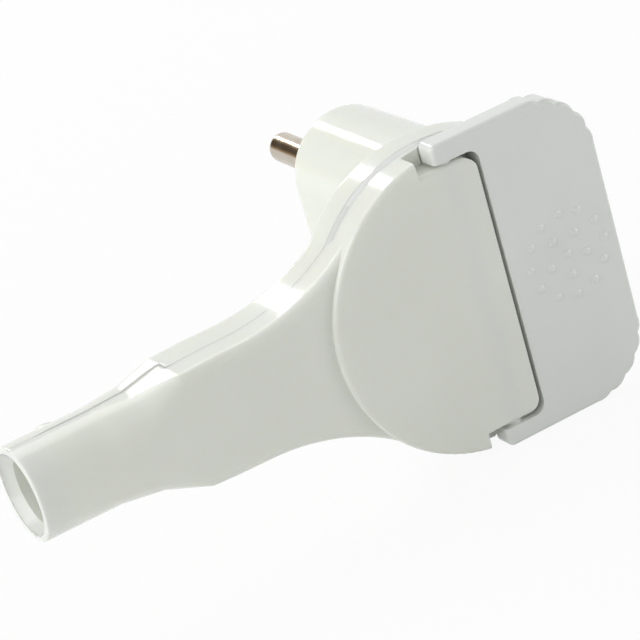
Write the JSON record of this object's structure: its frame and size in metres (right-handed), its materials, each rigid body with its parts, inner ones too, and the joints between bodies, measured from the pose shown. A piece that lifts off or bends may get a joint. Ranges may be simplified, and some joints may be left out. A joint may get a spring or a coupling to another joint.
{
  "type": "angled plug",
  "caption": "Flat angled mains plug with thin round pins, an open side cable tube and a U-shaped pull handle that folds out of the round head.",
  "frame": {"origin": "centre of the pin face, between the two pins", "axes": "+Y along the pins, the way they are pushed in; +Z along the line through both pins; +X away from the cable tube, to the free end of the handle"},
  "size_m": [0.0809, 0.0482, 0.0408],
  "materials": {
    "shell": "moulded, glossy white",
    "handle": "moulded, glossy white",
    "pin": "nickel-plated brass, turned",
    "sleeve": "moulded, satin white",
    "carrier": "moulded, matt",
    "screw": "zinc-plated steel"
  },
  "bodies": {
    "plug": {"rear_shell": "shell", "front_cover": "shell", "pin_upper": "pin", "pin_lower": "pin", "sleeve_upper": "sleeve", "sleeve_lower": "sleeve", "contact_carrier": "carrier", "terminal_screw_upper": "screw", "terminal_screw_lower": "screw", "face_screw": "screw", "shell_screw_upper": "screw", "shell_screw_lower": "screw", "clamp_saddle": "carrier", "clamp_screw": "screw"},
    "handle": {"pull_handle": "handle"}
  },
  "joints": [
    {"name": "handle_fold", "type": "hinge", "parent": "plug", "child": "handle", "pos_m": [-0.0004, -0.02725, 0], "axis": [0, 0, -1], "range_deg": [0, 90]}
  ]
}
